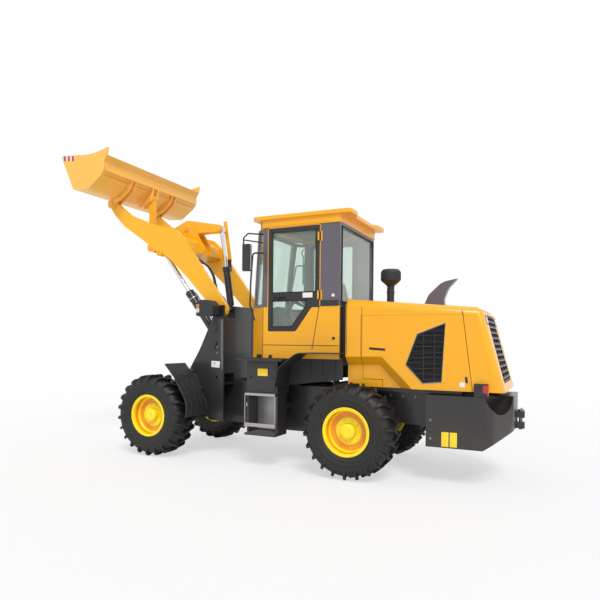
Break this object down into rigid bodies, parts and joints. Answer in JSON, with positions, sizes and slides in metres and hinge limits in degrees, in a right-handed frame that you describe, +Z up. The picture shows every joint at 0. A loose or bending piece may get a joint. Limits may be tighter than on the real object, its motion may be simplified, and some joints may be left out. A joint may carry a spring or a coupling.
{
  "type": "wheel loader",
  "caption": "Compact articulated wheel loader with a raised boom, a bellcrank linkage and a rolled-back bucket, and a cab with opening doors.",
  "frame": {"origin": "on the ground under the middle of the whole machine's length, at its centre line", "axes": "+X forward to the bucket, +Y to the machine's left, +Z up from the ground"},
  "size_m": [6.1056, 2.06, 4.1555],
  "materials": {
    "body_paint": "satin",
    "frame_paint": "satin",
    "frame_metal": "matt",
    "pillar_paint": "satin",
    "bucket_paint": "satin",
    "rim_paint": "gloss",
    "tyre": "matt",
    "glass": "clear",
    "trim": "matt",
    "cushion": "woven",
    "steel": "brushed",
    "chrome": "polished",
    "engine_metal": "matt"
  },
  "bodies": {
    "rear_body": {"rear_frame": "frame_paint", "rear_axle": "frame_metal", "engine": "engine_metal", "gearbox": "engine_metal", "counterweight": "frame_metal", "tow_pin": "steel", "hood": "body_paint", "rear_grille": "trim", "precleaner": "trim", "exhaust_stack": "pillar_paint", "cab_base": "body_paint", "cab_frame": "pillar_paint", "cab_roof": "body_paint", "cab_glass": "glass", "operator_seat": "trim", "seat_cushion": "cushion", "steering_console": "trim", "steering_wheel": "trim", "rear_fenders": "trim", "step_boxes": "frame_paint", "mirrors": "trim", "grab_handles": "frame_paint", "roof_lamps": "trim", "tail_lamps": "trim"},
    "cab_door_left": {"cab_door_left": "trim", "door_glass_left": "glass"},
    "cab_door_right": {"cab_door_right": "trim", "door_glass_right": "glass"},
    "engine_door_left": {"engine_door_left": "body_paint"},
    "engine_door_right": {"engine_door_right": "body_paint"},
    "front_body": {"front_frame": "frame_paint", "front_axle": "frame_metal", "front_drive_shaft": "steel", "front_fenders": "trim", "headlamps": "trim"},
    "boom": {"boom": "body_paint"},
    "bellcrank": {"bellcrank": "body_paint"},
    "tilt_link": {"tilt_link": "frame_paint"},
    "bucket": {"bucket": "bucket_paint"},
    "tilt_cylinder": {"tilt_cylinder": "frame_paint"},
    "tilt_rod": {"tilt_rod": "chrome"},
    "lift_cylinder_left": {"lift_cylinder_left": "steel"},
    "lift_rod_left": {"lift_rod_left": "chrome"},
    "steering_cylinder_left": {"steering_cylinder_left": "frame_paint"},
    "steering_rod_left": {"steering_rod_left": "chrome"},
    "wheel_rear_left": {"wheel_rear_left": "rim_paint", "tyre_rear_left": "tyre"},
    "wheel_front_left": {"wheel_front_left": "rim_paint", "tyre_front_left": "tyre"},
    "lift_cylinder_right": {"lift_cylinder_right": "steel"},
    "lift_rod_right": {"lift_rod_right": "chrome"},
    "steering_cylinder_right": {"steering_cylinder_right": "frame_paint"},
    "steering_rod_right": {"steering_rod_right": "chrome"},
    "wheel_rear_right": {"wheel_rear_right": "rim_paint", "tyre_rear_right": "tyre"},
    "wheel_front_right": {"wheel_front_right": "rim_paint", "tyre_front_right": "tyre"}
  },
  "joints": [
    {"name": "steer", "type": "hinge", "parent": "rear_body", "child": "front_body", "pos_m": [0.13116, 0, 0.9], "axis": [0, 0, 1], "range_deg": [-35, 35]},
    {"name": "roll_rear_left", "type": "hinge", "parent": "rear_body", "child": "wheel_rear_left", "pos_m": [-1.26884, 0.762, 0.5375], "axis": [0, 1, 0], "continuous": true},
    {"name": "roll_front_left", "type": "hinge", "parent": "front_body", "child": "wheel_front_left", "pos_m": [1.53116, 0.762, 0.5375], "axis": [0, 1, 0], "continuous": true},
    {"name": "roll_rear_right", "type": "hinge", "parent": "rear_body", "child": "wheel_rear_right", "pos_m": [-1.26884, -0.762, 0.5375], "axis": [0, 1, 0], "continuous": true},
    {"name": "roll_front_right", "type": "hinge", "parent": "front_body", "child": "wheel_front_right", "pos_m": [1.53116, -0.762, 0.5375], "axis": [0, 1, 0], "continuous": true},
    {"name": "boom_lift", "type": "hinge", "parent": "front_body", "child": "boom", "pos_m": [0.70116, 0, 1.96], "axis": [0, -1, 0], "range_deg": [-80, 0]},
    {"name": "bucket_tilt", "type": "hinge", "parent": "boom", "child": "bucket", "pos_m": [2.64084, 0, 3.54987], "axis": [0, -1, 0], "range_deg": [-90, 0]},
    {"name": "bellcrank_swing", "type": "hinge", "parent": "boom", "child": "bellcrank", "pos_m": [1.56059, 0, 3.17517], "axis": [0, -1, 0], "range_deg": [0, 27.1]},
    {"name": "link_swing", "type": "hinge", "parent": "bucket", "child": "tilt_link", "pos_m": [2.29584, 0, 3.70487], "axis": [0, -1, 0], "range_deg": [0, 51.87]},
    {"name": "lift_cylinder_swing_left", "type": "hinge", "parent": "front_body", "child": "lift_cylinder_left", "pos_m": [0.77616, 0.345, 1.495], "axis": [0, -1, 0], "range_deg": [-77.96, 0]},
    {"name": "lift_rod_slide_left", "type": "slide", "parent": "lift_cylinder_left", "child": "lift_rod_left", "axis": [0.6043, 0, 0.7968], "range_m": [-0.60475, 0]},
    {"name": "lift_cylinder_swing_right", "type": "hinge", "parent": "front_body", "child": "lift_cylinder_right", "pos_m": [0.77616, -0.345, 1.495], "axis": [0, -1, 0], "range_deg": [-77.96, 0]},
    {"name": "lift_rod_slide_right", "type": "slide", "parent": "lift_cylinder_right", "child": "lift_rod_right", "axis": [0.6043, 0, 0.7968], "range_m": [-0.60475, 0]},
    {"name": "tilt_cylinder_swing", "type": "hinge", "parent": "front_body", "child": "tilt_cylinder", "pos_m": [0.85116, 0, 1.98], "axis": [0, -1, 0], "range_deg": [-88.82, 0]},
    {"name": "tilt_rod_slide", "type": "slide", "parent": "tilt_cylinder", "child": "tilt_rod", "axis": [0.1505, 0, 0.9886], "range_m": [-0.21852, 0]},
    {"name": "steering_cylinder_swing_left", "type": "hinge", "parent": "rear_body", "child": "steering_cylinder_left", "pos_m": [-0.33884, 0.3, 0.69], "axis": [0, 0, 1], "range_deg": [-11.65, 11.65]},
    {"name": "steering_rod_slide_left", "type": "slide", "parent": "steering_cylinder_left", "child": "steering_rod_left", "axis": [1, 0, 0], "range_m": [-0.18003, 0.18003]},
    {"name": "steering_cylinder_swing_right", "type": "hinge", "parent": "rear_body", "child": "steering_cylinder_right", "pos_m": [-0.33884, -0.3, 0.69], "axis": [0, 0, 1], "range_deg": [-11.65, 11.65]},
    {"name": "steering_rod_slide_right", "type": "slide", "parent": "steering_cylinder_right", "child": "steering_rod_right", "axis": [1, 0, 0], "range_m": [-0.18003, 0.18003]},
    {"name": "cab_door_hinge_left", "type": "hinge", "parent": "rear_body", "child": "cab_door_left", "pos_m": [-0.80684, 0.6343, 2.4], "axis": [0, 0, 1], "range_deg": [0, 90]},
    {"name": "engine_door_hinge_left", "type": "hinge", "parent": "rear_body", "child": "engine_door_left", "pos_m": [-1.86884, 0.604, 1.843], "axis": [1, 0, 0], "range_deg": [0, 75]},
    {"name": "cab_door_hinge_right", "type": "hinge", "parent": "rear_body", "child": "cab_door_right", "pos_m": [-0.80684, -0.6343, 2.4], "axis": [0, 0, -1], "range_deg": [0, 90]},
    {"name": "engine_door_hinge_right", "type": "hinge", "parent": "rear_body", "child": "engine_door_right", "pos_m": [-1.86884, -0.604, 1.843], "axis": [-1, 0, 0], "range_deg": [0, 75]}
  ],
  "couplings": [
    {"joint": "bellcrank_swing", "follows": "bucket_tilt", "ratio": -0.30046},
    {"joint": "link_swing", "follows": "bucket_tilt", "ratio": -0.57514},
    {"joint": "lift_cylinder_swing_left", "follows": "boom_lift", "ratio": 0.97256},
    {"joint": "lift_rod_slide_left", "follows": "boom_lift", "m_per_rad": 0.43225},
    {"joint": "lift_cylinder_swing_right", "follows": "boom_lift", "ratio": 0.97256},
    {"joint": "lift_rod_slide_right", "follows": "boom_lift", "m_per_rad": 0.43225},
    {"joint": "tilt_cylinder_swing", "follows": "boom_lift", "ratio": 1.108},
    {"joint": "tilt_rod_slide", "follows": "bucket_tilt", "m_per_rad": 0.13884},
    {"joint": "steering_cylinder_swing_left", "follows": "steer", "ratio": 0.33132},
    {"joint": "steering_rod_slide_left", "follows": "steer", "m_per_rad": -0.2939},
    {"joint": "steering_cylinder_swing_right", "follows": "steer", "ratio": 0.33132},
    {"joint": "steering_rod_slide_right", "follows": "steer", "m_per_rad": 0.2939}
  ]
}
